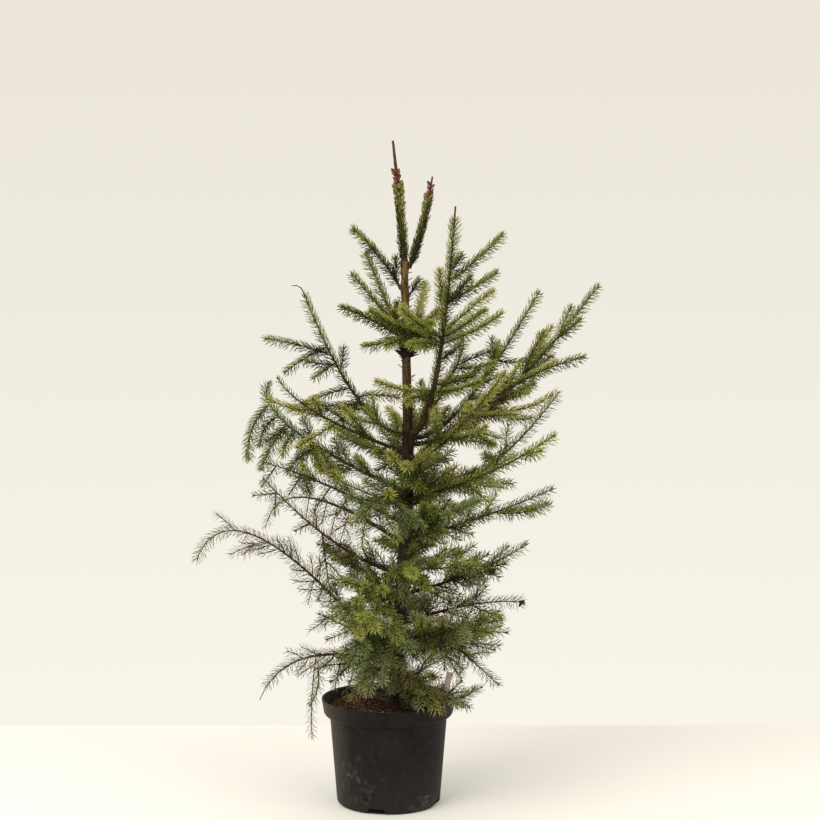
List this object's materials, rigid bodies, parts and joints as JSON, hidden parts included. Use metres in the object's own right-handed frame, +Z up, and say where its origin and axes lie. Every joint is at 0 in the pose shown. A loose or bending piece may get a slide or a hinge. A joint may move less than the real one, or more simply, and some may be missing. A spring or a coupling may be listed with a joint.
{
  "type": "potted conifer",
  "caption": "Young Serbian spruce in a round nursery pot: a slender leaning trunk, rising and arching boughs clothed with short needles, and a blank plant label in the compost.",
  "frame": {"origin": "centre of the pot's flat underside, on the surface it stands on", "axes": "+Z up the trunk, +X to the right of the pictured side, +Y away from the viewer"},
  "size_m": [0.5922, 0.4302, 0.9781],
  "materials": {
    "pot": "scuffed dark grey-brown moulded plastic",
    "compost": "moist crumbly bark compost",
    "label": "plain satin plastic strip",
    "bark": "rough reddish-brown bark",
    "needles_dark": "dark green needles",
    "needles_mid": "mid green needles",
    "needles_fresh": "yellow-green needles"
  },
  "bodies": {
    "root": {"pot": "pot", "soil": "compost", "plant_label": "label", "trunk": "bark", "bough_c_left": "bark", "bough_c_rising": "bark", "bough_c_right": "bark", "bough_d_left": "bark", "bough_g_arch": "bark", "needles_top_leader": "needles_dark", "needles_top_right": "needles_mid", "needles_a_left": "needles_fresh", "needles_a_right": "needles_dark", "needles_b_left_high": "needles_mid", "needles_b_left": "needles_fresh", "needles_b_left_low": "needles_dark", "needles_b_front": "needles_mid", "needles_b_back": "needles_fresh", "needles_c_left": "needles_dark", "needles_c_rising": "needles_mid", "needles_c_right_back": "needles_fresh", "needles_c_right": "needles_dark", "needles_c_right_low": "needles_mid", "needles_c_left_low": "needles_fresh", "needles_c_front": "needles_dark", "needles_c_right_front": "needles_mid", "needles_c_front_right": "needles_fresh", "needles_c_back": "needles_dark", "needles_c_back_left": "needles_mid", "needles_d_left": "needles_fresh", "needles_d_right": "needles_dark", "needles_d_right_low": "needles_mid", "needles_d_right_thin": "needles_fresh", "needles_d_left_low": "needles_dark", "needles_d_front": "needles_mid", "needles_d_front_right": "needles_fresh", "needles_d_back": "needles_dark", "needles_e_arch": "needles_mid", "needles_e_right": "needles_fresh", "needles_e_left": "needles_dark", "needles_e_front": "needles_mid", "needles_e_front_right": "needles_fresh", "needles_e_back": "needles_dark", "needles_f_right": "needles_mid", "needles_f_back": "needles_fresh", "needles_f_front_left": "needles_dark", "needles_g_arch": "needles_mid", "needles_g_right": "needles_fresh", "needles_g_right_low": "needles_dark", "needles_g_right_back": "needles_mid", "needles_g_front": "needles_fresh", "needles_g_left": "needles_dark", "needles_g_back": "needles_mid", "needles_h_left": "needles_fresh", "needles_h_left_low": "needles_dark", "needles_h_right": "needles_mid", "needles_h_right_low": "needles_fresh", "needles_h_front": "needles_dark", "needles_h_front_right": "needles_mid", "needles_h_back": "needles_fresh"}
  },
  "joints": []
}
